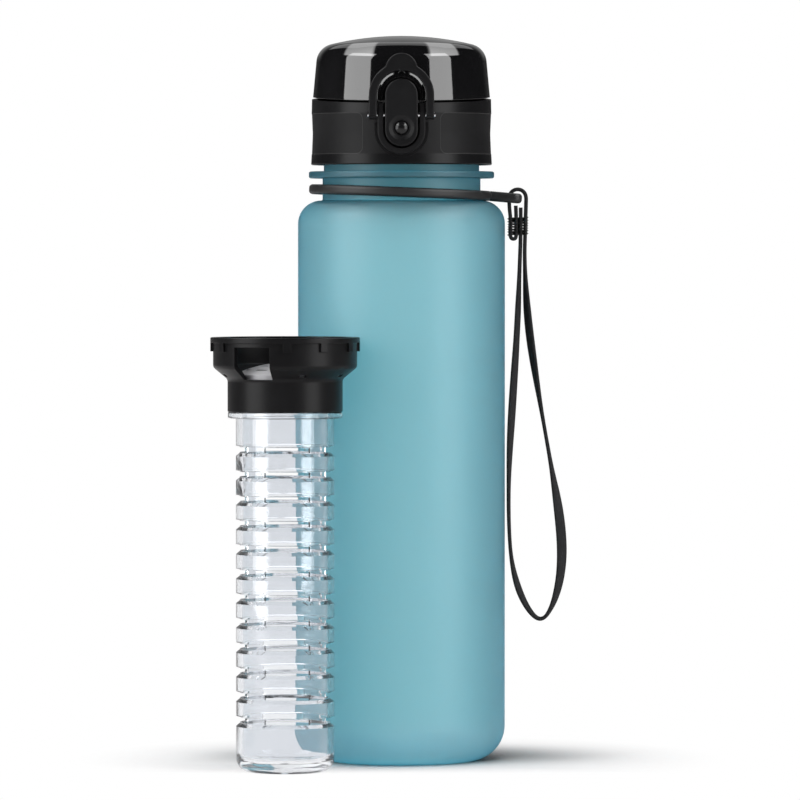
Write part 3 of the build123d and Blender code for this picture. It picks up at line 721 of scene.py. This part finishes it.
class BOTTLE_OT_finishes(bpy.types.Operator):
    """Gives every hard piece its finish"""

    bl_idname = "bottle.finishes"
    bl_label = "Finishes"

    def execute(self, context):
        settings = context.scene.bottle
        black = tuple(settings.plastic_black)
        dress(frosted_body(tuple(settings.body_tint)), "bottle_body")
        dress(clear_tube(tuple(settings.tube_tint)), "infuser_tube")
        cap = moulded("cap gloss black", black, 0.05, 220.0, 0.75, depth=0.001 * MM)
        dress(cap, "cap_shell")
        skirt = (LID_LOW[2] - 0.3 * MM, PANEL_LOW)
        brow = (PANEL_HIGH, LID_HIGH[2] + 3.0 * MM)
        lid = moulded(
            "lid satin black",
            black,
            roughness=0.52,
            grain=2600.0,
            specular=0.14,
            edge=0.1 * MM,
            # painted highlight along the grip panels' outline, in this dark grey
            outline_highlight_tint=(0.03, 0.03, 0.03),
            smooth_bands=(skirt, brow),
        )
        dress(lid, "lid_base_shell")
        dress(moulded("latch satin black", black, 0.4, 2600.0, 0.15), "latch_lever", "lock_bail")
        stud = moulded("stud gloss black", black, 0.2, 900.0, 0.3, depth=0.003 * MM)
        dress(stud, "press_stud")
        dress(moulded("collar satin black", black, 0.34, 1800.0, 0.13), "infuser_collar")
        dress(moulded("ring rubber", black, 0.5, 1500.0, 0.4), "carry_ring")
        grey = [channel * 4 for channel in black]
        inner = moulded("inner grey plastic", grey, 0.35, 1800.0, 0.5)
        dress(inner, "lid_thread_liner", "drinking_spout", "cap_liner")
        dress(silicone(), "lid_gasket", "cap_seal")
        dress(strainer_grey(), "strainer_dome")
        dress(bright_steel(), "latch_pin", "hinge_pin", "hinge_spring", "latch_spring")
        return {"FINISHED"}


class BOTTLE_OT_stage(bpy.types.Operator):
    """Makes the pale floor, the white surround and the lamps"""

    bl_idname = "bottle.stage"
    bl_label = "Stage"

    def execute(self, context):
        self.floor(context)
        self.surround(context)
        power = context.scene.bottle.lamp_power
        top_power = power * 0.16
        self.lamp(context, "lamp left", (-0.733, -0.405, 0.36), (0.58, 1.0), power)
        self.lamp(context, "lamp right", (0.677, -0.493, 0.36), (0.48, 1.0), power)
        self.lamp(context, "lamp top", (0.0, 0.75, 1.15), (1.4, 0.9), top_power)
        context.scene.view_settings.view_transform = "Standard"
        return {"FINISHED"}

    def floor(self, context):
        """A wide square floor: white to the camera and through clear walls, and a diffuse paint
        near the bottle, which takes the lamps' shadows and, behind the bottle, a painted shadow
        darkened in by ambient occlusion."""
        half = 12.0
        mesh = bpy.data.meshes.new("floor")
        corners = [(-half, -half, 0), (half, -half, 0), (half, half, 0), (-half, half, 0)]
        mesh.from_pydata(corners, [], [(0, 1, 2, 3)])
        floor = bpy.data.objects.new("floor", mesh)
        context.scene.collection.objects.link(floor)
        finish = new_finish("floor white")
        direct, _, through = finish.rays()
        spot = finish.place()
        behind = spot.parts()[1]
        distance = finish.add("ShaderNodeVectorMath", {"operation": "LENGTH"}, [spot], "Value")
        reach = {"Distance": 50.0 * MM}
        open_share = finish.add("ShaderNodeAmbientOcclusion", {"samples": 12}, reach, "AO")
        # painted shadow behind the bottle, from ambient occlusion
        painted_shadow_mask = (1.0 - open_share) * behind.ramp(-30.0 * MM, 30.0 * MM)
        # the floor's paint, darkened towards black by the painted shadow
        pale = finish.mix((0.95, 0.93, 0.93), (0.0, 0.0, 0.0), (painted_shadow_mask * 2.4).least(0.85))
        in_front = (-behind).ramp(25.0 * MM, 55.0 * MM)
        clear = distance.ramp(42.0 * MM, 105.0 * MM).most(in_front)
        paint = finish.add("ShaderNodeBsdfDiffuse", {}, {"Color": pale})
        glow = finish.add("ShaderNodeEmission", {}, {"Strength": 1.0})
        share = direct * clear + through
        shader = finish.add("ShaderNodeMixShader", {}, [share, paint, glow])
        finish.node("ShaderNodeOutputMaterial", {}, {"Surface": shader})
        mesh.materials.append(finish.owner)

    def surround(self, context):
        """White where it is seen directly, bright behind what is seen through clear walls,
        and dim elsewhere. Gloss shows it nearly black, with a pale back and, high up, two
        strips that carry on the reflections of the side lamps."""
        world = bpy.data.worlds.new("surround")
        context.scene.world = world
        finish = Finish(world)
        direct, glossy, through = finish.rays()
        side, back, above = finish.add("ShaderNodeTexCoord", {}, {}, "Generated").parts()
        slant = abs(side / (1.0 - back))
        strips = slant.ramp(0.33, 0.39) * (1.0 - slant.ramp(0.88, 0.96)) * above.ramp(0.45, 0.5)
        dark, dim, strip_level = 0.012, 0.36, 4.6
        pale_back = back.ramp(0.75, 1.0) * (above.ramp(0.03, 0.2) * 0.36 + 0.03)
        mirrored = pale_back + dark + strips * (1.0 - back) * strip_level
        level = dim + glossy * (mirrored - dim)
        behind = (back.ramp(-0.1, 0.6) * 0.85 + 0.15) * (1.0 - side * 0.4)
        behind = behind * (1.0 - back.ramp(0.8, 1.0) * 0.08)
        level = level + through * (behind - level)
        white = (1.0, 1.0, 1.0)
        plain = finish.add("ShaderNodeBackground", {}, {"Color": white, "Strength": 1.0})
        lit = finish.add("ShaderNodeBackground", {}, {"Color": white, "Strength": level})
        shader = finish.add("ShaderNodeMixShader", {}, [direct, lit, plain])
        finish.node("ShaderNodeOutputWorld", {}, {"Surface": shader})

    def lamp(self, context, name, place, size, power):
        """A rectangular lamp that faces the bottle's middle, with so many watts to the
        square metre."""
        middle = np.array([0.0, 0.0, 0.13])
        data = bpy.data.lights.new(name, "AREA")
        data.shape = "RECTANGLE"
        data.size, data.size_y = size
        data.energy = power * size[0] * size[1]
        lamp = bpy.data.objects.new(name, data)
        lamp.location = place
        x, y, z = middle - np.array(place)
        lamp.rotation_euler = (math.atan2(math.hypot(x, y), -z), 0.0, math.atan2(-x, y))
        context.scene.collection.objects.link(lamp)


class BOTTLE_PT_panel(bpy.types.Panel):
    """Lists the settings and the steps"""

    bl_label = "Bottle"
    bl_idname = "BOTTLE_PT_panel"
    bl_space_type = "VIEW_3D"
    bl_region_type = "UI"
    bl_category = "Bottle"

    def draw(self, context):
        for name in BottleSettings.__annotations__:
            self.layout.prop(context.scene.bottle, name)
        for operator in STEPS:
            self.layout.operator(operator.bl_idname)


STEPS = [BOTTLE_OT_camera, BOTTLE_OT_strap, BOTTLE_OT_finishes, BOTTLE_OT_stage]


def register():
    for kind in [BottleSettings, *STEPS, BOTTLE_PT_panel]:
        bpy.utils.register_class(kind)
    bpy.types.Scene.bottle = PointerProperty(type=BottleSettings)


def unregister():
    del bpy.types.Scene.bottle
    for kind in [BOTTLE_PT_panel, *reversed(STEPS), BottleSettings]:
        bpy.utils.unregister_class(kind)


def main():
    register()
    bpy.ops.bottle.camera()
    bpy.ops.bottle.strap()
    bpy.ops.bottle.finishes()
    bpy.ops.bottle.stage()


if __name__ == "__main__":
    main()
